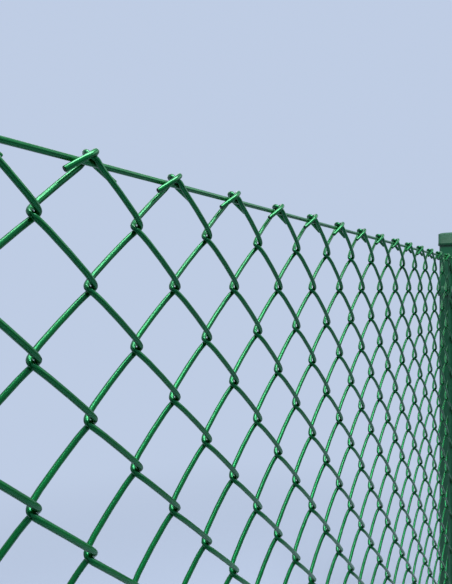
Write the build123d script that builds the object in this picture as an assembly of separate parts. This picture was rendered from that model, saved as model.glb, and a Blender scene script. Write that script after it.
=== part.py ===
from build123d import *
import math
import os

# One bay of woven chain-link fence between two steel posts, in millimetres.
# +X runs along the fence from the left post to the right one, +Z is up and -Y is the front.
# The origin is the middle of the underside of the left post's foot plate.

# Wire and weave
wire_d = 3.55            # outside diameter of the coated wire
mesh_size = 50.0         # clear distance between parallel strands of a diamond
mesh_length = 1060.0     # between the posts, made up of whole diamonds
roll_height = 780.0      # height of the mesh, made up of whole diamonds
strand_offset = 4.2      # from the middle plane of the mesh to a strand's axis
bend_drop = 6.2          # height that a wire loses while it turns from one face to the other
clearance = 0.3          # between pieces that seat on each other

# Selvages: the hooked wire ends and the line wire that runs through them
line_drop = 4.4          # from the outermost row of nodes to the line wire's axis
hook_gap = 1.2           # between the line wire and the crest of a hook
hook_lean = 2.6          # crest of a hook, beyond its column of nodes
tail_length = 22.0       # straight cut end of a hook
tail_angle = 27.0        # below the horizontal

# Ground clearance, posts and feet
ground_gap = 40.0        # from the ground to the lowest row of nodes
post_side = 50.0         # square tube
post_wall = 3.0
post_rise = 45.0         # post above the top row of nodes
cap_wall = 2.0
cap_skirt = 22.0
cap_bevel = 6.0
cap_rise = 4.0
plate_side = 150.0
plate_t = 8.0
plate_hole_spacing = 110.0
plate_hole_d = 14.0
plate_corner = 14.0

# Stretcher bars, the bands that hold them and their bolts
bar_t = 4.0
bar_w = 16.0
bar_bolt_gap = 2.0       # between the bar's edge and the bolts of its bands
bar_end_gap = 1.0        # between the bar's end and the line wire
band_t = 2.5
band_h = 20.0
band_lip = 2.0           # ear beyond the bar
band_count = 2
bolt_d = 8.0
bolt_head_h = 5.3
nut_across = 13.0        # across the flats of head and nut
nut_h = 6.5

# Line wire ends, looped round the posts
loop_lead = 24.0         # from the post to where the loop closes

# Worked-out sizes
wire_pitch = mesh_size * math.sqrt(2)          # width and height of one diamond
half_pitch = wire_pitch / 2
diamonds_wide = round(mesh_length / wire_pitch)
diamonds_high = round(roll_height / wire_pitch)
spacing = wire_d + clearance                   # between the axes of wires that touch
hook_reach = spacing / 2                       # a bend's axis beyond its column of nodes
pickets = 2 * diamonds_wide
half_turns = 2 * diamonds_high
mesh_height = diamonds_high * wire_pitch
mesh_bottom = ground_gap
mesh_top = mesh_bottom + mesh_height
mesh_middle = mesh_bottom + mesh_height / 2
post_half = post_side / 2
ear_gap = bar_t / 2 + clearance                # from the middle plane to an ear
bar_edge = hook_reach - wire_d / 2 - clearance  # bar's edge, short of the first column
nut_r = nut_across / math.sqrt(3)              # from the bolt's axis to a corner of the nut
bolt_x = post_half + band_t + nut_r + 2 * clearance
bar_x = bolt_x + bolt_d / 2 + bar_bolt_gap     # bar's edge towards the post
first_column = bar_x + bar_edge
first_knuckle = first_column + half_pitch
last_column = first_column + diamonds_wide * wire_pitch
post_spacing = last_column + first_column
post_top = mesh_top + post_rise
wire_side = wire_d / math.sqrt(2)              # square section inscribed in the wire
line_top_z = mesh_top - line_drop
line_bottom_z = mesh_bottom + line_drop
bar_end = wire_d / 2 + bar_end_gap


def swept_wire(points, side):
    """A wire of square section carried along straight runs with mitred corners."""
    path = Polyline(*points)
    section = Plane(origin=path @ 0, z_dir=path % 0) * Rectangle(side, side)
    return sweep(section, path=path, transition=Transition.RIGHT)


def top_hook():
    """Points of a hook over the line wire, from the cut end in front to the strand behind.

    They are measured from the node where the hook stands, and the hook leans towards +X.
    """
    front = -(strand_offset + spacing)         # in front of the neighbour's strand
    crest = -line_drop + spacing + hook_gap    # axis height above the line wire
    tail_x = tail_length * math.cos(math.radians(tail_angle))
    tail_z = tail_length * math.sin(math.radians(tail_angle))
    bend_x = -strand_offset
    bend_z = crest - wire_d / 3
    return [
        (bend_x - tail_x, front, bend_z - tail_z),
        (bend_x, front, bend_z),
        (wire_d / 6, -(strand_offset + clearance), crest),
        (hook_lean, wire_d / 3, crest - wire_d / 6),
        (wire_d / 3, strand_offset, crest - wire_d),
    ]


def picket_points():
    """Points of one picket, hooked at its right-hand edge at the top and at the bottom."""
    right = half_pitch / 2
    bend_x = right + hook_reach
    points = [(right + x, y, mesh_height / 2 + z) for x, y, z in top_hook()]
    for node in range(1, half_turns):
        side = -1 if node % 2 else 1           # the left edge first
        z = mesh_height / 2 - node * half_pitch
        into_bend = (side * bend_x, -side * strand_offset, z + bend_drop / 2)
        out_of_bend = (side * bend_x, side * strand_offset, z - bend_drop / 2)
        points += [into_bend, out_of_bend]
    # the lower hook is the neighbour's upper hook turned half round the Y axis
    lower = [(right + x, -y, -mesh_height / 2 - z) for x, y, z in top_hook()]
    return points + lower[::-1]


def line_wire(z):
    """A line wire that goes round each post and is laid back along itself."""
    reach = post_half + clearance + wire_d / 2
    meet_x = post_half + loop_lead
    tail_x = first_knuckle - hook_reach - spacing
    left = [
        (tail_x, spacing, z),
        (meet_x, spacing, z),
        (reach, reach, z),
        (-reach, reach, z),
        (-reach, -reach, z),
        (reach, -reach, z),
        (meet_x, 0, z),
    ]
    right = [(post_spacing - x, -y, z) for x, y, z in left]
    return swept_wire(left + right[::-1], wire_side)


def post():
    """A square tube that stands on its foot plate."""
    tube = Rectangle(post_side, post_side) - Rectangle(post_side - 2 * post_wall, post_side - 2 * post_wall)
    return Pos(0, 0, plate_t) * extrude(tube, post_top - plate_t)


def foot_plate():
    """A square plate with cut corners and four bolt holes."""
    outline = Rectangle(plate_side, plate_side)
    outline = chamfer(outline.vertices(), plate_corner)
    holes = GridLocations(plate_hole_spacing, plate_hole_spacing, 2, 2) * Circle(plate_hole_d / 2)
    return extrude(outline - holes, plate_t)


def post_cap():
    """A cap with a bevelled crown whose skirt slips over the top of the tube."""
    inner = post_side + 2 * clearance
    outer = inner + 2 * cap_wall
    skirt = extrude(Rectangle(outer, outer) - Rectangle(inner, inner), cap_skirt + clearance)
    lid = Pos(0, 0, cap_skirt + clearance) * extrude(Rectangle(outer, outer), cap_wall)
    bevel = math.degrees(math.atan(cap_bevel / cap_rise))
    crown = Pos(0, 0, cap_skirt + clearance + cap_wall) * extrude(Rectangle(outer, outer), cap_rise, taper=bevel)
    return Pos(0, 0, post_top - cap_skirt) * (skirt + lid + crown)


def band_levels():
    """Heights of the bands, where the first column of nodes has no bend."""
    lowest = mesh_bottom + wire_pitch
    steps = diamonds_high - 2
    return [lowest + round(steps * i / (band_count - 1)) * wire_pitch for i in range(band_count)]


def tension_band(z):
    """A strap round the post with two ears that clamp the stretcher bar."""
    inner = post_half + clearance
    outer = inner + band_t
    ear_end = bar_x + bar_w + band_lip
    strap = Rectangle(2 * outer, 2 * outer)
    ears = Pos(ear_end / 2, 0) * Rectangle(ear_end, 2 * (ear_gap + band_t))
    slot = Pos(ear_end / 2, 0) * Rectangle(ear_end, 2 * ear_gap)
    outline = (strap + ears) - Rectangle(2 * inner, 2 * inner) - slot
    band = Pos(0, 0, z - band_h / 2) * extrude(outline, band_h)
    hole_side = bolt_d + 2 * clearance         # square, so that the bolt's neck can't turn
    return band - Pos(bolt_x, 0, z) * Box(hole_side, 4 * outer, hole_side)


def band_bolt(z):
    """A bolt with a square neck through both ears, with its nut behind."""
    face = ear_gap + band_t
    hexagon = RegularPolygon(nut_across / 2, 6, major_radius=False)
    shank = Box(bolt_d, 2 * face + nut_h + bolt_d / 2, bolt_d, align=(Align.CENTER, Align.MIN, Align.CENTER))
    head = extrude(Plane.XZ * hexagon, bolt_head_h)
    nut = Pos(0, 2 * face + nut_h, 0) * extrude(Plane.XZ * hexagon, nut_h)
    return Pos(bolt_x, -face, z) * (head + shank + nut)


def stretcher_bar():
    bottom = line_bottom_z + bar_end
    top = line_top_z - bar_end
    return Pos(bar_x + bar_w / 2, 0, (bottom + top) / 2) * Box(bar_w, bar_t, top - bottom)


def at_right_post(shape):
    """The same piece at the right post, turned half round the vertical."""
    return Pos(post_spacing, 0, 0) * Rot(0, 0, 180) * shape


def save(shape, node):
    export_step(shape, f"parts/{node}.step")


def save_pair(solids, node):
    """Like pieces of both posts in one node."""
    save(Compound(solids + [at_right_post(solid) for solid in solids]), node)


os.makedirs("parts", exist_ok=True)

hooked_right = swept_wire(picket_points(), wire_side)
hooked_left = Rot(0, 180, 0) * hooked_right
for number in range(pickets):
    centre_x = first_column + (number + 0.5) * half_pitch
    shape = hooked_left if number % 2 else hooked_right
    save(Pos(centre_x, 0, mesh_middle) * shape, f"picket_{number + 1:02d}")

save(line_wire(line_top_z), "line_wire_top")
save(line_wire(line_bottom_z), "line_wire_bottom")
save(post(), "post_left")
save(at_right_post(post()), "post_right")
save(stretcher_bar(), "stretcher_bar_left")
save(at_right_post(stretcher_bar()), "stretcher_bar_right")

levels = band_levels()
save_pair([foot_plate()], "foot_plates")
save_pair([post_cap()], "post_caps")
save_pair([tension_band(z) for z in levels], "tension_bands")
save_pair([band_bolt(z) for z in levels], "band_bolts")
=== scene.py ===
"""Dresses the chain-link fence bay: its woven wires, line wires, posts and fittings."""

import logging
import math
from dataclasses import dataclass, field
from enum import Enum
from functools import cached_property

import bmesh
import bpy
import numpy as np
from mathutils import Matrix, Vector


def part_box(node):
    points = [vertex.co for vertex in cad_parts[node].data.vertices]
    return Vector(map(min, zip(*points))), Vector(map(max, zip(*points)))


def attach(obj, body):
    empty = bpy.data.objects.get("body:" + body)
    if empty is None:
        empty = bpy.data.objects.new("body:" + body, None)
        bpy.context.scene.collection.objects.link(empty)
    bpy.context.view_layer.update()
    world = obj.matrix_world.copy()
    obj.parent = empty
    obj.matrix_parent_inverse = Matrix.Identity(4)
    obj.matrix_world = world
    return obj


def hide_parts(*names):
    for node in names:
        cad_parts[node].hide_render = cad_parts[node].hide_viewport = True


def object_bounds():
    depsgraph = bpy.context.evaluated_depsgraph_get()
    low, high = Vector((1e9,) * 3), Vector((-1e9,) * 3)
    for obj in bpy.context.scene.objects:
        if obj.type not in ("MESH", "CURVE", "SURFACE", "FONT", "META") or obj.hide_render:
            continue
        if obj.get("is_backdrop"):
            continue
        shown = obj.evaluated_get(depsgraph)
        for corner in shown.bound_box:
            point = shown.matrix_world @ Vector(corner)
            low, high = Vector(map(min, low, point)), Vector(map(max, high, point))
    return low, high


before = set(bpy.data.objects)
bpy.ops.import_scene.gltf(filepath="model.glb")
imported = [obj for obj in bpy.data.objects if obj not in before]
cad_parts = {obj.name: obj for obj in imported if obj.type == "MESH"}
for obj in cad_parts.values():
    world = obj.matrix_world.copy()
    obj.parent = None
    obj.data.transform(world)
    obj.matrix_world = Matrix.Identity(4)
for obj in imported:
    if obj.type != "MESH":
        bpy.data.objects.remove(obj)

BODY = "root"
MM = 0.001
SEED = 7
TINY = 1e-9
UP = np.array([0.0, 0.0, 1.0])
HALF_ROUND = np.array([-1.0, -1.0, 1.0])  # factors that turn a point half round the vertical

Triple = tuple[float, float, float]
Colour = Triple
Span = tuple[float, float]
Socket = bpy.types.NodeSocket
Material = bpy.types.Material
log = logging.getLogger("fence")


class Edge(Enum):
    """The edge of a picket at which its wire is hooked over the line wires."""

    RIGHT = "right"
    LEFT = "left"


class Level(Enum):
    """The two line wires."""

    TOP = "line_wire_top"
    BOTTOM = "line_wire_bottom"


class End(Enum):
    """The two posts, and the way from each of them into the mesh."""

    LEFT = 1.0
    RIGHT = -1.0


def box_of(node: str) -> tuple[np.ndarray, np.ndarray]:
    """The lowest and the highest corner of a CAD node, in metres."""
    low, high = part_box(node)
    return np.array(low), np.array(high)


def middle_of(node: str) -> np.ndarray:
    """The centre of a CAD node's box."""
    low, high = box_of(node)
    return (low + high) / 2


@dataclass
class Skin:
    """A surface as arrays: points, faces, a finish number per face and marks per point."""

    points: np.ndarray
    faces: list[list[int]]
    finish: list[int]
    marks: dict[str, np.ndarray] = field(default_factory=dict)

    def moved(self, offset: np.ndarray) -> "Skin":
        """The same surface, shifted."""
        return Skin(self.points + np.asarray(offset), self.faces, self.finish, self.marks)

    def turned(self) -> "Skin":
        """The same surface, turned half round the vertical through the origin."""
        return Skin(self.points * HALF_ROUND, self.faces, self.finish, self.marks)

    @staticmethod
    def joined(skins: list["Skin"]) -> "Skin":
        """Several surfaces as one.

        Args:
            skins: surfaces that carry the same marks.

        Returns:
            One surface with all their points and faces.
        """
        starts = np.cumsum([0] + [len(skin.points) for skin in skins]).tolist()
        faces = [
            [start + index for index in face]
            for start, skin in zip(starts, skins)
            for face in skin.faces
        ]
        finish = [number for skin in skins for number in skin.finish]
        marks = {
            name: np.concatenate([skin.marks[name] for skin in skins]) for name in skins[0].marks
        }
        return Skin(np.concatenate([skin.points for skin in skins]), faces, finish, marks)

    @staticmethod
    def at_both_posts(skins: list["Skin"], node: str) -> "Skin":
        """Surfaces at the left post and, turned half round a node's middle, at the right."""
        far = [2 * middle_of(node)[0], 0.0, 0.0]
        return Skin.joined(skins + [skin.turned().moved(far) for skin in skins])


def unit(vectors: np.ndarray) -> np.ndarray:
    """Vectors along the last axis, brought to length one."""
    return vectors / np.maximum(np.linalg.norm(vectors, axis=-1, keepdims=True), TINY)


def rows_dot(first: np.ndarray, second: np.ndarray) -> np.ndarray:
    """Dot product of each row of one array with the same row of the other."""
    return np.sum(first * second, axis=-1)


def angles_round(count: int) -> np.ndarray:
    """Angles spread evenly over a full turn."""
    return np.arange(count) * 2 * math.pi / count


def run_length(path: np.ndarray) -> np.ndarray:
    """Distance along a path at each of its points."""
    steps = np.linalg.norm(np.diff(path, axis=0), axis=1)
    return np.concatenate([[0.0], np.cumsum(steps)])


def tangents_of(path: np.ndarray) -> np.ndarray:
    """Directions of a path at its points, each halfway between those of its two steps."""
    ways = unit(np.diff(path, axis=0))
    return unit(np.concatenate([ways[:1], ways[:-1] + ways[1:], ways[-1:]]))


def steady_frames(path: np.ndarray) -> tuple[np.ndarray, np.ndarray]:
    """Directions across a path that don't spin as they go along it.

    At each point any direction across the path is taken first. Carried to the next point
    by the smallest turn that takes one tangent to the next, it differs from the one taken
    there by an angle. The running sum of those angles turns every direction into line.

    Args:
        path: points of the path.

    Returns:
        Two directions across the path and each other, with one row a point.
    """
    tangents = tangents_of(path)
    axes = np.eye(3)[np.argmin(np.abs(tangents), axis=1)]
    side = unit(np.cross(tangents, axes))
    now, then = tangents[:-1], tangents[1:]
    share = rows_dot(side[:-1], then) / (1 + rows_dot(now, then))
    carried = side[:-1] - share[:, None] * (now + then)
    across = np.cross(then, side[1:])
    angles = np.arctan2(rows_dot(carried, across), rows_dot(carried, side[1:]))
    turn = np.concatenate([[0.0], np.cumsum(angles)])[:, None]
    first = np.cos(turn) * side + np.sin(turn) * np.cross(tangents, side)
    return first, np.cross(tangents, first)


def smooth_curve(knots: np.ndarray, steps: int) -> np.ndarray:
    """A curve through points, along the first chord at its start and the last at its end.

    At any other point it runs in the direction of the chord between that point's
    neighbours, and between two points it is a cubic, so the curve has no kink.

    Args:
        knots: points that the curve passes through.
        steps: parts that each span between two points is cut into.

    Returns:
        Points of the curve.
    """
    padded = np.concatenate([2 * knots[:1] - knots[1:2], knots, 2 * knots[-1:] - knots[-2:-1]])
    padded = padded[:, None, :]
    before, start, end, after = padded[:-3], padded[1:-2], padded[2:-1], padded[3:]
    t = np.linspace(0, 1, steps, endpoint=False)[:, None]
    curve = start + 0.5 * t * (end - before)
    curve = curve + t**2 * (before - 2.5 * start + 2 * end - 0.5 * after)
    curve = curve + t**3 * (1.5 * start - 1.5 * end + 0.5 * after - 0.5 * before)
    return np.concatenate([curve.reshape(-1, 3), knots[-1:]])


def rounded_path(corners: np.ndarray, radii: list[float], steps: int) -> np.ndarray:
    """Straight runs joined by arcs.

    An arc leaves the run into its corner as far before it as the radius times the tangent
    of half the turn, and bends at that radius to the run out of it.

    Args:
        corners: points where the straight runs would meet, with both ends.
        radii: one radius for each corner between the ends.
        steps: parts that each arc is cut into.

    Returns:
        Points of the path.
    """
    ways = unit(np.diff(corners, axis=0))
    into, out = ways[:-1], ways[1:]
    turn = np.arccos(np.clip(rows_dot(into, out), -1, 1))[:, None]
    inward = unit(out - np.cos(turn) * into)
    reach = np.array(radii)[:, None]
    start = corners[1:-1] - into * reach * np.tan(turn / 2)
    angle = (turn * np.linspace(0, 1, steps + 1))[:, :, None]
    bow = np.sin(angle) * into[:, None, :] + (1 - np.cos(angle)) * inward[:, None, :]
    arcs = start[:, None, :] + reach[:, :, None] * bow
    return np.concatenate([corners[:1], arcs.reshape(-1, 3), corners[-1:]])


def square_rings(
    halves: np.ndarray, corners: np.ndarray, heights: np.ndarray, steps: int
) -> np.ndarray:
    """Squares with round corners, anticlockwise, each at its own height.

    Each corner is a quarter circle about a point that lies the corner's radius inside
    both sides, and straight sides join the quarters.

    Args:
        halves: half of each square's side.
        corners: radius of each square's corners.
        heights: height of each square.
        steps: parts that each corner is cut into.

    Returns:
        An array of rings, points and coordinates.
    """
    half, corner, height = (np.asarray(part)[:, None, None] for part in (halves, corners, heights))
    begin = np.arange(4)[:, None] * math.pi / 2
    angle = begin + np.linspace(0, math.pi / 2, steps + 1)
    centre = begin + math.pi / 4
    inset = (half - corner) * math.sqrt(2)
    x = inset * np.cos(centre) + corner * np.cos(angle)
    y = inset * np.sin(centre) + corner * np.sin(angle)
    z = np.broadcast_to(height, x.shape)
    return np.stack([x, y, z], axis=-1).reshape(len(half), -1, 3)


def grid_faces(rows: int, columns: int, wrap: tuple[bool, bool]) -> list[list[int]]:
    """Quads between neighbours in a grid of points.

    Args:
        rows: rows of the grid.
        columns: points in each row.
        wrap: whether the last row joins the first one, and each row's last point its first.

    Returns:
        The faces, each from a point to the next in its row and then to the next row.
    """
    number = np.arange(rows * columns).reshape(rows, columns)
    grid = np.pad(number, [(0, int(joined)) for joined in wrap], mode="wrap")
    corners = [grid[:-1, :-1], grid[:-1, 1:], grid[1:, 1:], grid[1:, :-1]]
    return np.stack(corners, axis=-1).reshape(-1, 4).tolist()


def ringed(rings: np.ndarray, worn: np.ndarray | None = None, capped: bool = True) -> Skin:
    """A closed surface over rings of points.

    Quads join each ring to the next. Either a fan of triangles closes each end, or the
    last ring joins the first one. The faces point outwards where the rings turn
    anticlockwise about their path.

    Args:
        rings: array of rings, points and coordinates.
        worn: how much each point is rubbed, from 0 to 1.
        capped: whether the ends are closed by fans.

    Returns:
        The surface, with the mark "worn" on its points.
    """
    count, sides = rings.shape[:2]
    points = rings.reshape(-1, 3)
    marks = np.zeros(len(points)) if worn is None else worn.ravel()
    faces = grid_faces(count, sides, (not capped, True))
    if capped:
        here = np.arange(sides)
        there = np.roll(here, -1)
        last, start = (count - 1) * sides, np.full(sides, len(points))
        faces += np.stack([there, here, start], axis=-1).tolist()
        faces += np.stack([last + here, last + there, start + 1], axis=-1).tolist()
        points = np.concatenate([points, rings[:1].mean(1), rings[-1:].mean(1)])
        marks = np.append(marks, [0.0, 0.0])
    return Skin(points, faces, [0] * len(faces), {"worn": marks})


@dataclass(frozen=True)
class Spots:
    """Noise over a piece, a span of which is carried to another along a smooth step.

    Attributes:
        scale: spots a metre.
        detail: octaves of finer noise.
        span: the part of the noise that counts, past which it is held.
        to: what the span's ends become.
    """

    scale: float
    detail: float
    span: Span
    to: Span = (0.0, 1.0)


class Nodes:
    """The shader nodes of a material or of the world."""

    def __init__(self, owner: Material | bpy.types.World) -> None:
        """Starts from the nodes that a material or a world has of its own.

        Args:
            owner: the material or the world.
        """
        owner.use_nodes = True
        self.owner = owner
        self.tree = owner.node_tree

    @cached_property
    def place(self) -> Socket:
        """The place of a point in its object."""
        return self.add("ShaderNodeTexCoord").outputs["Object"]

    @property
    def shader(self) -> bpy.types.Node:
        """A material's principled shader."""
        return self.tree.nodes["Principled BSDF"]

    def fill(self, node: bpy.types.Node, values: dict) -> None:
        """Sets inputs of a node.

        Args:
            node: the node.
            values: for inputs, by name or number: a number, a colour or a socket to link.
        """
        for key, value in values.items():
            target = node.inputs[key]
            if isinstance(value, Socket):
                self.tree.links.new(value, target)
            elif target.type == "RGBA":
                target.default_value = (*value, 1.0)
            else:
                target.default_value = value

    def add(self, kind: str, values: dict | None = None, **settings: object) -> bpy.types.Node:
        """Adds a node.

        Args:
            kind: the node's type.
            values: for inputs, as in fill.
            **settings: attributes of the node itself.

        Returns:
            The node.
        """
        node = self.tree.nodes.new(kind)
        for name, value in settings.items():
            setattr(node, name, value)
        self.fill(node, values or {})
        return node

    def mark(self, name: str, kind: str = "Fac") -> Socket:
        """The value that a piece's points carry under a name."""
        return self.add("ShaderNodeAttribute", attribute_name=name).outputs[kind]

    def stretched(self, vector: Socket, scale: Triple) -> Socket:
        """A vector with each of its parts multiplied."""
        return self.add("ShaderNodeMapping", {"Vector": vector, "Scale": scale}).outputs[0]

    def noise(self, vector: Socket, scale: float, detail: float = 2.0) -> Socket:
        """Noise around one half, with a scale of spots a unit and octaves of detail."""
        values = {"Vector": vector, "Scale": scale, "Detail": detail}
        return self.add("ShaderNodeTexNoise", values).outputs["Fac"]

    def between(self, value: Socket, span: Span, to: Span = (0.0, 1.0)) -> Socket:
        """A value carried from one span, past which it is held, to another."""
        values = dict(enumerate((value, *span, *to)))
        return self.add("ShaderNodeMapRange", values, interpolation_type="SMOOTHSTEP").outputs[0]

    def spots(self, kind: Spots) -> Socket:
        """A kind of spots over the whole piece."""
        return self.between(self.noise(self.place, kind.scale, kind.detail), kind.span, kind.to)

    def maths(self, operation: str, first: Socket, second: Socket) -> Socket:
        """Two values brought together by an operation and held between 0 and 1."""
        settings = {"operation": operation, "use_clamp": True}
        return self.add("ShaderNodeMath", {0: first, 1: second}, **settings).outputs[0]

    def blend(self, share: Socket, first: Socket | Colour, second: Socket | Colour) -> Socket:
        """A mix of two colours, with a share of the second."""
        values = {0: share, 6: first, 7: second}  # the numbers of the node's colour sockets
        return self.add("ShaderNodeMix", values, data_type="RGBA").outputs[2]

    def bumps(self, height: Socket, depth: float, under: Socket | None = None) -> Socket:
        """A normal for a rough surface.

        Args:
            height: height of the surface, from 0 to 1.
            depth: what 1 stands for, in metres.
            under: the normal of a coarser surface below it.

        Returns:
            The normal.
        """
        values = {"Height": height, "Distance": depth, "Strength": 1.0}
        if under is not None:
            values["Normal"] = under
        return self.add("ShaderNodeBump", values).outputs[0]

    def finish(self, **sockets: object) -> Material:
        """The material, with its shader's inputs set, named with underscores for spaces."""
        self.fill(self.shader, {name.replace("_", " "): value for name, value in sockets.items()})
        return self.owner


@dataclass(frozen=True)
class CoatedWire:
    """Glossy green plastic drawn over steel wire, with faint marks along the wire."""

    deep: Colour = (0.0, 0.074, 0.006)
    fresh: Colour = (0.0, 0.116, 0.013)
    # painted shade: a near-black green laid where wires touch
    contact_shade: Colour = (0.0, 0.018, 0.004)
    glint: Colour = (0.03, 1.0, 0.34)
    coat: float = 0.20
    coat_rough: float = 0.10
    clouds: Spots = Spots(38.0, 2.0, (0.35, 0.65))
    patches: Spots = Spots(420.0, 3.0, (0.3, 0.7), (0.15, 0.75))
    draw: Spots = Spots(1.6, 3.0, (0.3, 0.75), (0.25, 0.30))
    draw_stretch: Triple = (3.2, 3.2, 14.0)
    draw_depth: float = 0.006 * MM
    grain_scale: float = 900.0
    grain_depth: float = 0.001 * MM

    def material(self) -> Material:
        """Clouds of two greens, with painted shade where wires touch, draw marks and fine grain.

        Returns:
            The material.
        """
        nodes = Nodes(bpy.data.materials.new("coated_wire"))
        green = nodes.blend(nodes.spots(self.clouds), self.deep, self.fresh)
        # painted shade where the wires touch, broken into patches
        painted_shade = nodes.maths("MULTIPLY", nodes.mark("touch"), nodes.spots(self.patches))
        green = nodes.blend(painted_shade, green, self.contact_shade)
        run = nodes.stretched(nodes.mark("run", "Vector"), self.draw_stretch)
        draw = nodes.noise(run, self.draw.scale, self.draw.detail)
        grain = nodes.noise(nodes.place, self.grain_scale, 1.0)
        normal = nodes.bumps(grain, self.grain_depth, nodes.bumps(draw, self.draw_depth))
        return nodes.finish(
            Base_Color=green, Roughness=nodes.between(draw, self.draw.span, self.draw.to),
            Normal=normal, Specular_IOR_Level=1.0, Specular_Tint=self.glint,
            Coat_Weight=self.coat, Coat_Roughness=self.coat_rough,
        )


@dataclass(frozen=True)
class CutWire:
    """The end of a wire where the shears drew the coat over the steel."""

    smear: Colour = (0.006, 0.095, 0.042)
    steel: Colour = (0.055, 0.085, 0.065)
    smears: Spots = Spots(900.0, 3.0, (0.4, 0.6))
    ridges: Triple = (400.0, 400.0, 2600.0)
    ridge_depth: float = 0.08 * MM
    rough: float = 0.5

    def material(self) -> Material:
        """Green smears over dull steel, with the ridges of the cut.

        Returns:
            The material.
        """
        nodes = Nodes(bpy.data.materials.new("cut_wire"))
        colour = nodes.blend(nodes.spots(self.smears), self.smear, self.steel)
        ridges = nodes.noise(nodes.stretched(nodes.place, self.ridges), 1.0)
        normal = nodes.bumps(ridges, self.ridge_depth)
        return nodes.finish(Base_Color=colour, Roughness=self.rough, Normal=normal)


@dataclass(frozen=True)
class PaintedSteel:
    """Green powder coat on steel, satin, rubbed at the edges and dusty near the ground."""

    name: str
    deep: Colour = (0.003, 0.108, 0.040)
    fresh: Colour = (0.004, 0.128, 0.049)
    rubbed: Colour = (0.045, 0.230, 0.135)
    dust: Colour = (0.170, 0.200, 0.150)
    dust_top: float = 0.16
    clouds: Spots = Spots(11.0, 2.0, (0.2, 0.8))
    scuffs: Spots = Spots(260.0, 4.0, (0.50, 0.62), (0.0, 0.7))
    specks: Spots = Spots(90.0, 6.0, (0.30, 0.85), (0.0, 0.6))
    rough: Spots = Spots(30.0, 2.0, (0.2, 0.8), (0.36, 0.42))
    peel_scale: float = 620.0
    peel_depth: float = 0.05 * MM
    coat: float = 0.15
    coat_rough: float = 0.25

    def material(self) -> Material:
        """Clouds of two greens with orange peel, pale rubs on the edges and dust low down.

        Returns:
            The material.
        """
        nodes = Nodes(bpy.data.materials.new(self.name))
        green = nodes.blend(nodes.spots(self.clouds), self.deep, self.fresh)
        rubs = nodes.maths("MULTIPLY", nodes.mark("worn"), nodes.spots(self.scuffs))
        green = nodes.blend(rubs, green, self.rubbed)
        height = nodes.add("ShaderNodeSeparateXYZ", {0: nodes.place}).outputs[2]
        low = nodes.between(height, (0.0, self.dust_top), (1.0, 0.0))
        dusty = nodes.maths("MULTIPLY", low, nodes.spots(self.specks))
        green = nodes.blend(dusty, green, self.dust)
        normal = nodes.bumps(nodes.noise(nodes.place, self.peel_scale, 1.0), self.peel_depth)
        return nodes.finish(
            Base_Color=green, Roughness=nodes.spots(self.rough), Normal=normal,
            Coat_Weight=self.coat, Coat_Roughness=self.coat_rough,
        )


@dataclass(frozen=True)
class MouldedPlastic:
    """The post caps' dark green plastic, with a fine moulded grain."""

    dark: Colour = (0.004, 0.072, 0.028)
    pale: Colour = (0.005, 0.090, 0.036)
    rubbed: Colour = (0.045, 0.190, 0.120)
    clouds: Spots = Spots(30.0, 2.0, (0.2, 0.8))
    scuffs: Spots = Spots(320.0, 4.0, (0.48, 0.60), (0.0, 0.6))
    rough: Spots = Spots(60.0, 2.0, (0.2, 0.8), (0.43, 0.50))
    grain_scale: float = 1100.0
    grain_depth: float = 0.06 * MM

    def material(self) -> Material:
        """A grain of tiny cells under slow clouds of colour, paler where it is rubbed.

        Returns:
            The material.
        """
        nodes = Nodes(bpy.data.materials.new("cap_plastic"))
        green = nodes.blend(nodes.spots(self.clouds), self.dark, self.pale)
        rubs = nodes.maths("MULTIPLY", nodes.mark("worn"), nodes.spots(self.scuffs))
        green = nodes.blend(rubs, green, self.rubbed)
        values = {"Vector": nodes.place, "Scale": self.grain_scale}
        cells = nodes.add("ShaderNodeTexVoronoi", values).outputs["Distance"]
        normal = nodes.bumps(cells, self.grain_depth)
        return nodes.finish(Base_Color=green, Roughness=nodes.spots(self.rough), Normal=normal)


@dataclass(frozen=True)
class ZincSteel:
    """Bolts and nuts with a bright zinc finish, dulled in spots."""

    bright: Colour = (0.66, 0.67, 0.68)
    dull: Colour = (0.40, 0.41, 0.40)
    dulled: Spots = Spots(340.0, 4.0, (0.40, 0.66))
    rough: Spots = Spots(500.0, 3.0, (0.3, 0.7), (0.26, 0.50))
    scratches: Triple = (300.0, 300.0, 2400.0)
    scratch_depth: float = 0.03 * MM

    def material(self) -> Material:
        """Bright metal with dull spots and the scratches of a spanner.

        Returns:
            The material.
        """
        nodes = Nodes(bpy.data.materials.new("zinc_steel"))
        colour = nodes.blend(nodes.spots(self.dulled), self.bright, self.dull)
        rough = nodes.spots(self.rough)
        lines = nodes.noise(nodes.stretched(nodes.place, self.scratches), 1.0)
        normal = nodes.bumps(lines, self.scratch_depth)
        return nodes.finish(Base_Color=colour, Metallic=1.0, Roughness=rough, Normal=normal)


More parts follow.
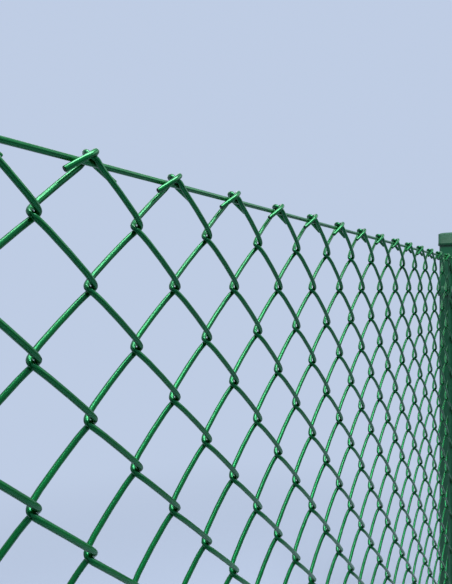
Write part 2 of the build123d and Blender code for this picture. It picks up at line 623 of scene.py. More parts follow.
class Piece:
    """A piece of the fence that stands for one CAD node.

    Attributes:
        node: the CAD node's name.
        kind: what the piece's own name adds to it.
        slot: the record's material slot for the piece's finish, which nothing in the script reads.
        sharp: the angle in degrees from which edges stay sharp.
    """

    node: str
    kind: str
    slot: str
    sharp: float = 32.0

    def skin(self) -> Skin:
        """The piece's surface, in metres, in the frame's own place."""
        raise NotImplementedError

    def build(self, *finishes: Material) -> bpy.types.Object:
        """Puts the piece into the scene in place of its CAD node.

        Args:
            *finishes: its materials, in the order of the skin's finish numbers.

        Returns:
            The object, with its origin at the frame's origin.
        """
        skin = self.skin()
        name = f"{self.node}_{self.kind}"
        mesh = bpy.data.meshes.new(name)
        mesh.from_pydata(skin.points.tolist(), [], skin.faces)
        for material in finishes:
            mesh.materials.append(material)
        mesh.polygons.foreach_set("material_index", skin.finish)
        mesh.shade_smooth()
        for mark, values in skin.marks.items():
            kind, part = ("FLOAT_VECTOR", "vector") if values.ndim == 2 else ("FLOAT", "value")
            attribute = mesh.attributes.new(mark, kind, "POINT")
            attribute.data.foreach_set(part, values.ravel())
        mesh.validate()
        mesh.update()
        mesh.set_sharp_from_angle(angle=math.radians(self.sharp))
        piece = bpy.data.objects.new(name, mesh)
        bpy.context.scene.collection.objects.link(piece)
        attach(piece, BODY)
        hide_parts(self.node)
        log.info("%s: %d faces for %s", name, len(mesh.polygons), self.node)
        return piece


@dataclass
class WireSkin:
    """The round surface of a coated wire along any path, with square cut ends."""

    diameter: float = 3.55 * MM
    core: float = 2.5 * MM
    coat_back: float = 0.22 * MM
    chamfer: float = 0.16 * MM
    sides: int = 12

    def along(self, path: np.ndarray, touch: np.ndarray) -> Skin:
        """Carries a circle along a path and closes its ends.

        A point of the surface is the path's point, plus the radius there times the cosine
        of the angle in one direction across and its sine in the other. At each end the
        radius steps in over the coat's chamfer to the steel core, which stands proud.

        Args:
            path: points of the wire's axis.
            touch: how near each is to a place where another wire touches, from 0 to 1.

        Returns:
            The surface, with the marks "run" and "touch" on its points. Its second finish
            is the bare core's.
        """
        radius, back = self.diameter / 2, self.coat_back
        radii = np.array([self.core / 4, self.core / 2, self.core / 2, radius - self.chamfer, radius])
        setback = np.array([0.0, 0.0, back, back, back + self.chamfer])[:, None]
        even = np.arange(len(radii))[:, None] * self.chamfer
        start, end = unit(path[1] - path[0]), unit(path[-1] - path[-2])
        line, guide = (
            np.concatenate([path[0] + inset * start, path[1:-1], path[-1] - inset[::-1] * end])
            for inset in (setback, even)
        )
        reach = np.concatenate([radii, np.full(len(path) - 2, radius), radii[::-1]])
        first, second = steady_frames(guide)
        angle = angles_round(self.sides)
        cosine, sine = np.cos(angle)[:, None], np.sin(angle)[:, None]
        spoke = cosine * first[:, None, :] + sine * second[:, None, :]
        skin = ringed(line[:, None, :] + reach[:, None, None] * spoke)
        bare = 2 * self.sides
        finish = np.zeros(len(skin.faces), int)
        finish[:bare] = 1
        finish[(len(line) - 1) * self.sides - bare :] = 1
        skin.finish = finish.tolist()
        around = np.tile(angle, len(line))
        length = np.repeat(run_length(guide), self.sides)
        run = np.stack([np.cos(around), np.sin(around), length], axis=-1)
        # the cut ends get no painted contact shade
        unshaded = np.zeros(len(radii))
        shade = np.concatenate([unshaded, touch[1:-1], unshaded])
        skin.marks = {
            "run": np.concatenate([run, np.zeros((2, 3))]),
            "touch": np.concatenate([np.repeat(shade, self.sides), np.zeros(2)]),
        }
        return skin


@dataclass
class Weave:
    """Places and sizes that all the wires of the mesh share."""

    wire: WireSkin = field(default_factory=WireSkin)
    line_drop: float = 4.4 * MM
    reach: float = 1.80 * MM
    bow: float = 4.0 * MM
    squareness: float = 2.8
    crowding: float = 0.7
    touch_power: int = 4
    turn_steps: int = 20
    fine_steps: int = 400
    hook_steps: int = 3
    hook_touch: Span = (-1.0, 3.0)
    hook_join: float = 5.5 * MM
    tail_run: float = 11.2 * MM
    tail_fall: float = 0.735
    tail_swing: float = 0.352
    tail_knot: float = 0.2
    fall_spread: float = 0.035
    run_spread: float = 0.7 * MM

    def __post_init__(self) -> None:
        """Reads the mesh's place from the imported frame."""
        self.names = sorted(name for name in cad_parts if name.startswith("picket_"))
        same_hand = self.names[::2]
        spread = middle_of(same_hand[-1])[0] - middle_of(same_hand[0])[0]
        self.pitch = spread / (len(same_hand) - 1)
        self.half_pitch = self.pitch / 2
        self.centre_x = middle_of(Level.TOP.value)[0]
        self.top = middle_of(Level.TOP.value)[2] + self.line_drop
        self.bottom = middle_of(Level.BOTTOM.value)[2] - self.line_drop
        self.half_turns = round((self.top - self.bottom) / self.half_pitch)
        self.edge = self.half_pitch / 2
        self.chance = np.random.default_rng(SEED)

    def place(self, number: int) -> float:
        """Where the middle of a picket stands along the fence, by its number from 0."""
        return self.centre_x + (number - (len(self.names) - 1) / 2) * self.half_pitch

    def outline(self, angle: np.ndarray) -> np.ndarray:
        """Half a superellipse behind the mesh, which is the spiral as seen from above.

        Along the fence it is the half width times the cosine of an angle to the power of
        two over the squareness, and across it the bow times the sine to the same power.

        Args:
            angle: angles from 0, at the right edge, to half a turn.

        Returns:
            Points at height 0.
        """
        power = 2 / self.squareness
        cosine, sine = np.cos(angle), np.sin(angle)
        x = (self.edge + self.reach) * np.sign(cosine) * np.abs(cosine) ** power
        return np.stack([x, self.bow * np.abs(sine) ** power, 0 * angle], axis=-1)

    def half_turn(self) -> tuple[np.ndarray, np.ndarray]:
        """Half a turn of the spiral, from its right edge behind the mesh to its left edge.

        It falls by half a pitch, in step with the distance run along the outline. The
        angles crowd towards both edges, where the wire bends.

        Returns:
            Points measured from the spiral's axis and from the height of its first edge,
            and how near each is to the next wire, from 0 to 1.
        """
        even = np.linspace(0, math.pi, self.turn_steps + 1)
        half = self.edge + self.reach
        crowded = np.arctan2(self.bow * np.sin(even), half * np.cos(even))
        angle = (1 - self.crowding) * even + self.crowding * crowded
        points = self.outline(angle)
        fine = self.outline(np.linspace(0, math.pi, self.fine_steps + 1))
        way = run_length(fine)
        points[:, 2] = -self.half_pitch * np.interp(-points[:, 0], -fine[:, 0], way) / way[-1]
        return points, np.abs(np.cos(angle)) ** self.touch_power

    def hook(self, onward: np.ndarray) -> np.ndarray:
        """A hook from its cut end in front to the strand behind, leaning to the right.

        The straight tail swings back towards the mesh and falls, both in step with its run
        to the left. A cubic curve carries it over the line wire.

        Args:
            onward: the first two points of the strand that it runs into.

        Returns:
            Points measured from the node where the hook stands, up to the strand.
        """
        run = self.tail_run + self.chance.normal() * self.run_spread
        fall = self.tail_fall + self.chance.normal() * self.fall_spread
        bend = np.array([
            (-7.25, -4.50, -3.45), (-4.70, -4.85, -1.65), (-1.70, -4.55, 0.30),
            (0.40, -3.65, 1.40), (1.90, -0.95, 1.05), (1.60, 0.80, -0.55),
            (-0.45, 2.60, -1.95), (-1.65, 3.40, -3.25), (-3.10, 3.70, -5.15),
        ]) * MM
        tail = bend[0] + run * np.array([-1.0, self.tail_swing, -fall])
        knot = bend[0] * (1 - self.tail_knot) + tail * self.tail_knot
        curve = smooth_curve(np.concatenate([[knot], bend, onward]), self.hook_steps)
        return np.concatenate([[tail], curve[: -self.hook_steps - 1]])


@dataclass
class Picket(Piece):
    """One wire of the mesh, bent into a flat left-handed spiral and hooked at both ends."""

    weave: Weave
    number: int
    kind = "wire"
    slot = "coated_wire"

    @property
    def node(self) -> str:
        """The picket's CAD node."""
        return self.weave.names[self.number]

    @property
    def hooked(self) -> Edge:
        """The edge that its hooks stand at, which changes from one picket to the next."""
        return Edge.LEFT if self.number % 2 else Edge.RIGHT

    def axis(self) -> tuple[np.ndarray, np.ndarray]:
        """The wire's axis from its upper cut end to its lower one.

        Half turns follow each other, every second one mirrored through the spiral's axis,
        and the hooks replace the start of the first and the end of the last. A picket
        hooked at its left edge is one hooked at its right edge, turned half round the line
        through the middle of the mesh from front to back. A hook touches nothing over its
        first quarter, and from its middle on it lies against the line wire.

        Returns:
            The points, and how near each is to the next wire, from 0 to 1.
        """
        w = self.weave
        turn, near = w.half_turn()
        first = int(np.searchsorted(-turn[:, 0], w.hook_join - w.edge))
        number = np.arange(w.half_turns)[:, None, None]
        turns = turn[:-1] * np.where(number % 2, HALF_ROUND, 1.0) - number * w.half_pitch * UP
        turns = turns.reshape(-1, 3)[first : 1 - first] + w.top * UP
        near = np.tile(near[:-1], w.half_turns)[first : 1 - first]
        upper_node, lower_node = (np.array([w.edge, 0.0, z]) for z in (w.top, w.bottom))
        flip = np.array([1.0, -1.0, -1.0])
        upper = upper_node + w.hook(turns[:2] - upper_node)
        lower = w.hook((turns[:-3:-1] - lower_node) * flip) * flip + lower_node
        path = np.concatenate([upper, turns, lower[::-1]])
        held = np.clip(np.linspace(*w.hook_touch, len(upper)), 0.0, 1.0)
        touch = np.concatenate([held, near, held[::-1]])
        if self.hooked is Edge.LEFT:
            path = path * np.array([-1.0, 1.0, -1.0]) + (w.top + w.bottom) * UP
        return path + np.array([w.place(self.number), 0.0, 0.0]), touch

    def skin(self) -> Skin:
        """The wire round its axis."""
        return self.weave.wire.along(*self.axis())


@dataclass
class LineWire(Piece):
    """A wire through the hooks, looped round both posts and laid half round itself."""

    level: Level
    wire: WireSkin = field(default_factory=WireSkin)
    # how near the line wire lies to the hooks all along, which sets its share of painted contact
    # shade
    touch: float = 0.15
    post_gap: float = 0.3 * MM
    post_corner: float = 6.5 * MM
    lead: float = 24.0 * MM
    lead_bend: float = 14.0 * MM
    wrap_from: float = 1.5 * MM
    wrap_length: float = 9.0 * MM
    wrap_turns: float = 0.55
    wrap_gap: float = 0.05 * MM
    arc_steps: int = 6
    wrap_steps: int = 16
    kind = "strand"
    slot = "coated_wire"

    @property
    def node(self) -> str:
        """The line wire's CAD node."""
        return self.level.value

    def loop(self) -> np.ndarray:
        """Half of the wire, from its cut end round the left post and on to the mesh.

        The end goes half round the wire as a helix, on the side away from the mesh: its
        distance from the wire is the wire's thickness, and its angle and its place along
        the wire grow evenly together.

        Returns:
            Points of the axis, at height 0.
        """
        low, high = box_of("post_left")
        half = (high[0] - low[0]) / 2
        reach = half + self.post_gap + self.wire.diameter / 2
        meet = half + self.lead
        beside = self.wire.diameter + self.wrap_gap
        share = np.linspace(1.0, 0.0, self.wrap_steps)
        angle = share * self.wrap_turns * 2 * math.pi
        outward = beside if self.level is Level.TOP else -beside
        x = meet + self.wrap_from + self.wrap_length * share
        helix = np.stack([x, beside * np.cos(angle), outward * np.sin(angle)], axis=-1)
        corners = np.array([
            helix[-1], (meet, beside, 0.0), (reach, reach, 0.0), (-reach, reach, 0.0),
            (-reach, -reach, 0.0), (reach, -reach, 0.0), (meet, 0.0, 0.0),
            (meet + 2 * self.lead, 0.0, 0.0),
        ])
        radii = [self.lead_bend] + [self.post_corner] * 4 + [self.lead_bend]
        return np.concatenate([helix[:-1], rounded_path(corners, radii, self.arc_steps)])

    def skin(self) -> Skin:
        """The wire round its axis, the half about the right post being the left one turned.

        Returns:
            The surface.
        """
        middle = middle_of(self.node)
        near = self.loop()
        away = near * HALF_ROUND + np.array([2 * middle[0], 0.0, 0.0])
        path = np.concatenate([near, away[::-1]]) + middle[2] * UP
        return self.wire.along(path, np.full(len(path), self.touch))


@dataclass
class Post(Piece):
    """A square steel tube with round corners, closed by a cap and welded to its foot."""

    end: End
    wall: float = 3.0 * MM
    corner: float = 5.0 * MM
    rim: float = 0.4 * MM
    levels: int = 25
    steps: int = 5
    weld: float = 5.0 * MM
    weld_corner: float = 4.5 * MM
    weld_back: Span = (0.985, 0.90)
    weld_steps: int = 6
    ripple: float = 0.10
    ripples: int = 56
    ripple_steps: int = 14
    kind = "tube"
    slot = "post_coating"
    sharp = 40.0

    def __post_init__(self) -> None:
        """Reads the post's place from its CAD node."""
        self.node = f"post_{self.end.name.lower()}"
        self.low, self.high = box_of(self.node)
        self.half = (self.high[0] - self.low[0]) / 2

    def tube(self) -> Skin:
        """A round-cornered square carried up the outside and down the inside.

        Its corners are rubbed, by the sine of the way round each.

        Returns:
            The surface, about the post's axis.
        """
        foot, top = self.low[2], self.high[2]
        inset = np.append(np.zeros(self.levels), [self.rim, self.wall, self.wall])
        heights = np.append(np.linspace(foot, top - self.rim, self.levels), [top, top, foot])
        rings = square_rings(self.half - inset, self.corner - inset, heights, self.steps)
        bend = np.sin(np.linspace(0, math.pi, self.steps + 1))
        return ringed(rings, np.tile(bend, (len(rings), 4)), capped=False)

    def bead(self) -> Skin:
        """The weld round the foot: a quarter-round section whose size ripples as it runs.

        A point lies off the tube and off the plate by the weld's size times the cosine and
        the sine of an angle, and the size swells with the sine of the way round. The back
        of the weld lies inside the tube's wall.

        Returns:
            The surface, about the post's axis.
        """
        square = square_rings([self.half], [self.weld_corner], [0.0], self.ripple_steps)[0]
        way = run_length(square)
        swell = 1 + self.ripple * np.sin(way / way[-1] * 2 * math.pi * self.ripples)
        angle = np.linspace(0, math.pi / 2, self.weld_steps + 1)[:, None]
        out = 1 + self.weld * swell * np.cos(angle) / self.half
        rise = self.low[2] + self.weld * swell * np.sin(angle)
        face = square * out[:, :, None] + rise[:, :, None] * UP
        ends = zip((face[-1], face[0]), self.weld_back)
        back = [ring * np.array([share, share, 1.0]) for ring, share in ends]
        return ringed(np.concatenate([face, back]), capped=False)

    def skin(self) -> Skin:
        """The tube and its weld in their place."""
        place = middle_of(self.node) * np.array([1.0, 1.0, 0.0])
        return Skin.joined([self.tube(), self.bead()]).moved(place)


@dataclass
class FootPlates(Piece):
    """Square plates with cut corners, soft edges and four bolt holes each."""

    thickness: float = 8.0 * MM
    side: float = 150.0 * MM
    cut: float = 14.0 * MM
    hole_spacing: float = 110.0 * MM
    hole: float = 14.0 * MM
    hole_rub: float = 0.2
    merge: float = 0.01 * MM
    edge: float = 0.9 * MM
    edge_angle: float = 40.0
    rays: int = 8
    out: int = 5
    node = "foot_plates"
    kind = "steel"
    slot = "post_coating"
    sharp = 180.0

    def quarter(self) -> np.ndarray:
        """A quarter of the plate's face as rays from its hole to its outline.

        A point lies on the straight line from the hole's rim to the place where the same
        ray from the hole's centre leaves the quarter. The ray leaves through whichever of
        the five sides it meets first. One ray goes to each corner, and the rays between
        two corners are spread evenly.

        Returns:
            Points in rays and steps, with x and y.
        """
        half, centre = self.side / 2, self.hole_spacing / 2
        start = half - self.cut
        corner = np.array([(0, 0), (half, 0), (half, start), (start, half), (0, half), (0, 0)])
        x, y = (corner - centre).T
        angle = np.unwrap(np.arctan2(y, x))[:, None]
        share = np.arange(self.rays) / self.rays
        turn = (angle[:-1] * (1 - share) + angle[1:] * share).ravel()
        way = np.stack([np.cos(turn), np.sin(turn)], axis=-1)
        normals = np.array([(1, 0), (0, 1), (-1, 0), (0, -1), (1, 1)], float)
        gaps = np.array([half, half, 0.0, 0.0, half + start]) - normals.sum(axis=1) * centre
        speed = way @ normals.T
        far = np.where(speed > TINY, gaps / np.maximum(speed, TINY), np.inf).min(axis=1)
        share = np.linspace(0, 1, self.out)
        reach = self.hole / 2 * (1 - share) + far[:, None] * share
        return centre + reach[:, :, None] * way[:, None, :]

    def plate(self) -> Skin:
        """The upper face of one plate: its quarter and the three mirrored ones.

        Returns:
            The surface, about the plate's middle, at height 0.
        """
        quarter = self.quarter()
        rays, steps = quarter.shape[:2]
        flat = quarter.reshape(-1, 2)
        faces = np.array(grid_faces(rays, steps, (True, False)))
        marks = {"worn": np.tile(np.linspace(self.hole_rub, 0.0, steps), rays)}
        skins = []
        for sx, sy in ((1, 1), (1, -1), (-1, 1), (-1, -1)):
            points = np.column_stack([sx * flat[:, 0], sy * flat[:, 1], 0 * flat[:, 0]])
            order = faces if sx == sy else faces[:, ::-1]
            skins.append(Skin(points, order.tolist(), [0] * len(faces), marks))
        return Skin.joined(skins)

    def skin(self) -> Skin:
        """The upper faces of both plates in their place.

        Returns:
            The surface.
        """
        low, high = box_of(self.node)
        middles = (low[0] + self.side / 2, high[0] - self.side / 2)
        return Skin.joined([self.plate().moved([x, 0.0, high[2]]) for x in middles])

    def build(self, *finishes: Material) -> bpy.types.Object:
        """Merges the quarters, gives the plates their thickness and softens their edges.

        Args:
            *finishes: the plates' material.

        Returns:
            The object.
        """
        piece = super().build(*finishes)
        shell = bmesh.new()
        shell.from_mesh(piece.data)
        bmesh.ops.remove_doubles(shell, verts=shell.verts, dist=self.merge)
        bmesh.ops.recalc_face_normals(shell, faces=shell.faces)
        if shell.faces[0].normal.z < 0:
            bmesh.ops.reverse_faces(shell, faces=shell.faces)
        shell.to_mesh(piece.data)
        shell.free()
        wall = piece.modifiers.new("thickness", "SOLIDIFY")
        wall.thickness = self.thickness
        wall.offset = -1.0
        soft = piece.modifiers.new("edges", "BEVEL")
        soft.width = self.edge
        soft.segments = 2
        soft.limit_method = "ANGLE"
        soft.angle_limit = math.radians(self.edge_angle)
        return piece


@dataclass
class PostCaps(Piece):
    """Moulded caps with a low crown, whose skirts slip over the tubes."""

    wall: float = 2.0 * MM
    skirt: float = 22.3 * MM
    rise: float = 4.0 * MM
    corner: float = 6.0 * MM
    corner_share: float = 0.6
    lip: float = 0.8 * MM
    band: float = 5.2 * MM
    step: float = 0.25 * MM
    soft: float = 0.4 * MM
    hub: float = 0.6 * MM
    crown_steps: int = 8
    crown_power: float = 0.8
    rub: float = 0.8
    steps: int = 6
    node = "post_caps"
    kind = "moulded"
    slot = "cap_plastic"
    sharp = 50.0

    def cap(self, half: float, low: float, high: float) -> Skin:
        """One cap.

        A round-cornered square is carried from the middle of the ceiling out and down the
        inside of the skirt, and up its outside and over the crown, where it shrinks to the
        middle along a cosine.

        Args:
            half: half of its width.
            low: height of the skirt's rim.
            high: height of the crown.

        Returns:
            The surface, about the cap's axis.
        """
        shoulder, ceiling, band = high - self.rise, low + self.skirt, low + self.band
        inside, side = half - self.wall, half - self.step
        lower = [
            (self.hub, ceiling), (inside - self.lip, ceiling), (inside, ceiling - self.lip),
            (inside, low + self.lip), (inside + self.lip / 2, low), (half - self.lip, low),
            (half, low + self.lip), (half, band - self.soft), (half, band),
            (side, band + self.soft), (side, shoulder - self.lip),
            (half - self.lip, shoulder + self.soft),
        ]
        angle = np.linspace(0, math.pi / 2, self.crown_steps + 1)[1:-1]
        crown = np.stack([
            (half - 2 * self.lip) * np.cos(angle),
            shoulder + self.rise * np.sin(angle) ** self.crown_power,
        ], axis=-1)
        reach, heights = np.concatenate([lower, crown, [(self.hub, high)]]).T
        corners = np.minimum(self.corner, self.corner_share * reach)
        rings = square_rings(reach, corners, heights, self.steps)
        rub = np.zeros(rings.shape[:2])
        rub[len(lower) - 2 : len(lower) + 2] = self.rub
        return ringed(rings, rub)

    def skin(self) -> Skin:
        """Both caps in their place.

        Returns:
            The surface.
        """
        low, high = box_of(self.node)
        half = (high[1] - low[1]) / 2
        cap = self.cap(half, low[2], high[2])
        return Skin.joined([cap.moved([x, 0.0, 0.0]) for x in (low[0] + half, high[0] - half)])


@dataclass
class StretcherBar(Piece):
    """A flat bar with rolled edges through the outer bends of an end picket."""

    end: End
    thickness: float = 3.0 * MM
    post_inset: float = 2.4 * MM
    mesh_inset: float = 0.15 * MM
    chamfer: float = 0.7 * MM
    face_chamfer: float = 0.42 * MM
    rub: float = 0.7
    levels: int = 40
    steps: int = 10
    kind = "steel"
    slot = "bar_coating"
    sharp = 40.0

    @property
    def node(self) -> str:
        """The bar's CAD node."""
        return f"stretcher_bar_{self.end.name.lower()}"

    def skin(self) -> Skin:
        """Two half circles joined by flats, carried up the bar, with chamfered ends.

        Returns:
            The surface.
        """
        low, high = box_of(self.node)
        radius = self.thickness / 2
        half = (high[0] - low[0] - self.post_inset - self.mesh_inset) / 2
        flat = half - radius
        turn = np.linspace(-math.pi / 2, math.pi / 2, self.steps + 1)
        right = np.column_stack([flat + radius * np.cos(turn), radius * np.sin(turn)])
        section = np.concatenate([right, -right])
        sizes = np.ones((self.levels + 2, 1, 2))
        sizes[[0, -1]] = (1 - self.chamfer / half, 1 - self.face_chamfer / radius)
        heights = np.linspace(low[2] + self.chamfer, high[2] - self.chamfer, self.levels)
        heights = np.concatenate([low[2:], heights, high[2:]])[:, None, None]
        rings = np.pad(section * sizes, [(0, 0), (0, 0), (0, 1)]) + heights * UP
        rub = np.tile((np.abs(section[:, 0]) > flat) * self.rub, (len(rings), 1))
        centre = (low + high) / 2
        lean = self.end.value * (self.post_inset - self.mesh_inset) / 2
        return ringed(rings, rub).moved([centre[0] + lean, centre[1], 0.0])


@dataclass
class TensionBands(Piece):
    """Straps bent round the posts, whose ears clamp the stretcher bars."""

    levels: list[float]
    thickness: float = 2.5 * MM
    height: float = 20.0 * MM
    post_gap: float = 0.3 * MM
    ear_gap: float = 2.3 * MM
    post_half: float = 25.0 * MM
    post_bend: float = 6.3 * MM
    ear_bend: float = 3.0 * MM
    ear_end: float = 59.6 * MM
    edge: float = 0.5 * MM
    rub: float = 0.35
    steps: int = 6
    node = "tension_bands"
    kind = "steel"
    slot = "bar_coating"
    sharp = 50.0

    def section(self) -> np.ndarray:
        """The strap's cross-section: a flat rectangle with cut corners.

        Returns:
            Its eight corners in turn, each as a place across and a place up.
        """
        a, b, e = self.thickness / 2, self.height / 2, self.edge
        right = [(a - e, -b), (a, -b + e), (a, b - e), (a - e, b)]
        return np.array(right + [(-x, -y) for x, y in right])

    def strap(self, level: float) -> Skin:
        """One strap, from the end of its front ear round the post to its back ear.

        The section is carried along the path. Its first direction lies across the path and
        level, and its second is upright.

        Args:
            level: height of its middle.

        Returns:
            The surface, about the left post.
        """
        ear = self.ear_gap + self.thickness / 2
        wrap = self.post_half + self.post_gap + self.thickness / 2
        front = [(self.ear_end, -ear), (wrap, -ear), (wrap, -wrap), (-wrap, -wrap)]
        outline = front + [(x, -y) for x, y in front[::-1]]
        radii = [self.ear_bend] + [self.post_bend] * 4 + [self.ear_bend]
        path = rounded_path(np.array([(x, y, level) for x, y in outline]), radii, self.steps)
        across = np.cross(UP, tangents_of(path))
        section = self.section()
        rings = path[:, None, :] + across[:, None, :] * section[:, :1] + UP * section[:, 1:]
        return ringed(rings, np.full(rings.shape[:2], self.rub))

    def skin(self) -> Skin:
        """All the straps in their place."""
        return Skin.at_both_posts([self.strap(level) for level in self.levels], self.node)


@dataclass
class BandBolts(Piece):
    """The bolts through the bands' ears, with chamfered heads, nuts and cut threads."""

    levels: list[float]
    across: float = 13.0 * MM
    head: float = 5.3 * MM
    nut: float = 6.5 * MM
    trim: float = 1.3 * MM
    bevel: float = 0.195 * MM
    shank: float = 8.0 * MM
    ear_face: float = 4.8 * MM
    thread_pitch: float = 1.25 * MM
    thread_depth: float = 0.35 * MM
    thread_steps: int = 6
    rings: tuple[float, ...] = (0.0, 0.0, 0.10, 0.22, 0.5, 0.78, 0.90, 1.0, 1.0)
    beyond: float = 3.6 * MM
    bolt_x: float = 35.606 * MM
    around: int = 48
    node = "band_bolts"
    kind = "zinc"
    slot = "zinc_steel"
    sharp = 30.0

    def turned_on_y(self, reach: np.ndarray, y: np.ndarray) -> Skin:
        """A surface round the y axis, with a row of reaches for each place along it."""
        angle, place = angles_round(self.around), np.broadcast_to(y[:, None], reach.shape)
        return ringed(np.stack([reach * np.sin(angle), place, reach * np.cos(angle)], axis=-1))

    def hexagon(self, length: float, start: float, chamfered: tuple[bool, bool]) -> Skin:
        """A hexagonal head or nut about the y axis.

        At each angle its reach is the hexagon's, but no more than that of a cone which
        trims the corners at a chamfered end. Its first and last rings lie within its faces,
        at half that reach.

        Args:
            length: its thickness.
            start: y of its near face.
            chamfered: whether its near and its far corners are trimmed.

        Returns:
            The surface.
        """
        flat, corner = self.across / 2, self.across / math.sqrt(3)
        sector = np.mod(angles_round(self.around), math.pi / 3) - math.pi / 6
        y = np.array(self.rings) * length
        depth = np.full(len(y), self.trim)
        for trimmed, below in zip(chamfered, (y, length - y)):
            depth = np.minimum(depth, below) if trimmed else depth
        cone = flat - self.bevel + (corner - flat + self.bevel) * depth / self.trim
        reach = np.minimum(flat / np.cos(sector), cone[:, None])
        reach[[0, -1]] /= 2
        return self.turned_on_y(reach, start + y)

    def stem(self) -> Skin:
        """The shank, whose far end carries a thread: its radius waves once a turn.

        Returns:
            The surface.
        """
        end = self.ear_face + self.nut + self.beyond
        threaded = np.arange(self.ear_face, end, self.thread_pitch / self.thread_steps)
        y = np.concatenate([[-self.ear_face], threaded, [end]])
        phase = y[:, None] / self.thread_pitch * 2 * math.pi - angles_round(self.around)
        groove = np.where(y > self.ear_face, self.thread_depth, 0.0)[:, None]
        reach = self.shank / 2 - groove * (0.5 - 0.5 * np.cos(phase))
        reach[-1] -= self.thread_depth
        return self.turned_on_y(reach, y)

    def skin(self) -> Skin:
        """All the bolts with their nuts in their place.

        Returns:
            The surface.
        """
        bolt = Skin.joined([
            self.hexagon(self.head, -self.ear_face - self.head, (True, False)),
            self.hexagon(self.nut, self.ear_face, (True, True)),
            self.stem(),
        ])
        bolts = [bolt.moved([self.bolt_x, 0.0, level]) for level in self.levels]
        return Skin.at_both_posts(bolts, self.node)


@dataclass(frozen=True)
class Lamp:
    """A rectangular lamp that hangs at an offset from the fence's middle and faces it."""

    name: str
    power: float
    size: Span
    offset: Triple

    def build(self, centre: np.ndarray) -> None:
        """Hangs the lamp.

        Args:
            centre: the fence's middle.
        """
        light = bpy.data.lights.new(self.name, "AREA")
        light.energy = self.power
        light.shape = "RECTANGLE"
        light.size, light.size_y = self.size
        lamp = bpy.data.objects.new(self.name, light)
        lamp.location = centre + self.offset
        lamp.rotation_euler = Vector(self.offset).to_track_quat("Z", "Y").to_euler()
        bpy.context.scene.collection.objects.link(lamp)


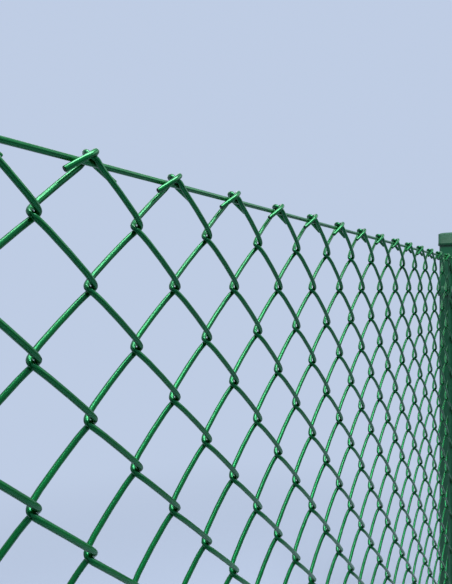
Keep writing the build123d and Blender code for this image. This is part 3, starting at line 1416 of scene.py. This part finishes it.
@dataclass
class Studio:
    """A pale floor and backdrop, one broad lamp overhead and soft light from both sides."""

    pale: Colour = (0.52, 0.61, 0.78)
    bounce: Colour = (0.10, 0.11, 0.12)
    ambient: float = 0.11
    fade: Span = (0.6, 1.8)
    floor_half: float = 30.0
    floor_drop: float = 0.3 * MM
    floor_rough: float = 0.9
    floor_shine: float = 0.1
    lamps: tuple[Lamp, ...] = (
        Lamp("key", 94.0, (2.2, 0.9), (-0.4, -0.35, 2.5)),
        Lamp("front", 16.0, (1.8, 1.8), (2.4, -1.8, 2.0)),
        Lamp("back", 12.0, (1.8, 1.8), (1.6, 2.2, 1.7)),
    )

    def world(self) -> None:
        """Gives rays that reach the camera, a gloss or a glass the backdrop's colour."""
        world = bpy.data.worlds.new("studio")
        bpy.context.scene.world = world
        nodes = Nodes(world)
        nodes.tree.nodes.clear()
        rays = nodes.add("ShaderNodeLightPath").outputs
        seen = nodes.maths("ADD", rays["Is Camera Ray"], rays["Is Glossy Ray"])
        seen = nodes.maths("ADD", seen, rays["Is Transmission Ray"])
        soft, shown = (
            nodes.add("ShaderNodeBackground", {"Color": self.pale, "Strength": strength})
            for strength in (self.ambient, 1.0)
        )
        values = {0: seen, 1: soft.outputs[0], 2: shown.outputs[0]}
        mix = nodes.add("ShaderNodeMixShader", values)
        nodes.add("ShaderNodeOutputWorld", {0: mix.outputs[0]})

    def ground(self, centre: np.ndarray) -> None:
        """Lays the floor, which fades into the backdrop far from the fence.

        Args:
            centre: the fence's middle.
        """
        signs = np.array([(-1, -1), (1, -1), (1, 1), (-1, 1)])
        square = signs * self.floor_half + centre[:2]
        mesh = bpy.data.meshes.new("floor")
        mesh.from_pydata([(x, y, -self.floor_drop) for x, y in square.tolist()], [], [[0, 1, 2, 3]])
        nodes = Nodes(bpy.data.materials.new("floor"))
        shift = {"Vector": nodes.place, "Location": (-float(centre[0]), -float(centre[1]), 0.0)}
        near = nodes.add("ShaderNodeMapping", shift).outputs[0]
        far = nodes.add("ShaderNodeVectorMath", {0: near}, operation="LENGTH").outputs["Value"]
        rays = nodes.add("ShaderNodeLightPath").outputs
        seen = nodes.maths("ADD", rays["Is Camera Ray"], rays["Is Glossy Ray"])
        tint = nodes.blend(seen, self.bounce, self.pale)
        look = {"Roughness": self.floor_rough, "Specular_IOR_Level": self.floor_shine}
        nodes.finish(Base_Color=tint, **look)
        shown = nodes.add("ShaderNodeEmission", {"Color": self.pale, "Strength": 1.0})
        fade = nodes.maths("MULTIPLY", nodes.between(far, self.fade), rays["Is Camera Ray"])
        values = {0: fade, 1: nodes.shader.outputs[0], 2: shown.outputs[0]}
        mix = nodes.add("ShaderNodeMixShader", values)
        nodes.fill(nodes.tree.nodes["Material Output"], {"Surface": mix.outputs[0]})
        mesh.materials.append(nodes.owner)
        floor = bpy.data.objects.new("floor", mesh)
        bpy.context.scene.collection.objects.link(floor)
        floor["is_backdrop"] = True

    def build(self, centre: np.ndarray) -> None:
        """Sets up the floor, the backdrop and the lamps round the fence.

        Args:
            centre: the fence's middle.
        """
        self.world()
        self.ground(centre)
        for lamp in self.lamps:
            lamp.build(centre)
        bpy.context.scene.view_settings.view_transform = "Standard"


@dataclass
class Viewpoint:
    """The photograph's camera, found by fitting a pinhole camera to the mesh's nodes."""

    focal_pixels: float = 535.3
    long_side: int = 584
    turn: float = 56.68
    behind_column: float = 197.28 * MM
    before_mesh: float = 215.35 * MM
    below_top: float = 72.5 * MM
    column: int = 3
    sensor: float = 36.0
    sight: Span = (0.01, 100.0)

    def build(self, weave: Weave) -> None:
        """Makes the camera, level and turned towards the far end of the fence.

        Args:
            weave: the mesh that it is placed from.
        """
        data = bpy.data.cameras.new("camera")
        data.sensor_width = self.sensor
        data.lens = self.focal_pixels * self.sensor / self.long_side
        data.clip_start, data.clip_end = self.sight
        camera = bpy.data.objects.new("camera", data)
        knuckle = weave.place(0) + weave.edge + (self.column - 1) * weave.half_pitch
        camera.location = (
            knuckle - self.behind_column, -self.before_mesh, weave.top - self.below_top
        )
        camera.rotation_euler = (math.pi / 2, 0.0, -math.radians(self.turn))
        bpy.context.scene.collection.objects.link(camera)
        bpy.context.scene.camera = camera


def main() -> None:
    """Builds the fence's pieces in order, then the studio and the camera."""
    logging.basicConfig(level=logging.INFO, format="%(message)s")
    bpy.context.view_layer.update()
    weave = Weave()
    wire = (CoatedWire().material(), CutWire().material())
    posts = PaintedSteel("post_coating").material()
    bars = PaintedSteel("bar_coating").material()
    levels = [weave.bottom + weave.pitch, weave.top - weave.pitch]
    for number in range(len(weave.names)):
        Picket(weave, number).build(*wire)
    for level in Level:
        LineWire(level).build(*wire)
    for end in End:
        Post(end).build(posts)
        StretcherBar(end).build(bars)
    FootPlates().build(posts)
    PostCaps().build(MouldedPlastic().material())
    TensionBands(levels).build(bars)
    BandBolts(levels).build(ZincSteel().material())
    Studio().build(np.mean(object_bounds(), axis=0))
    Viewpoint().build(weave)


if __name__ == "__main__":
    main()
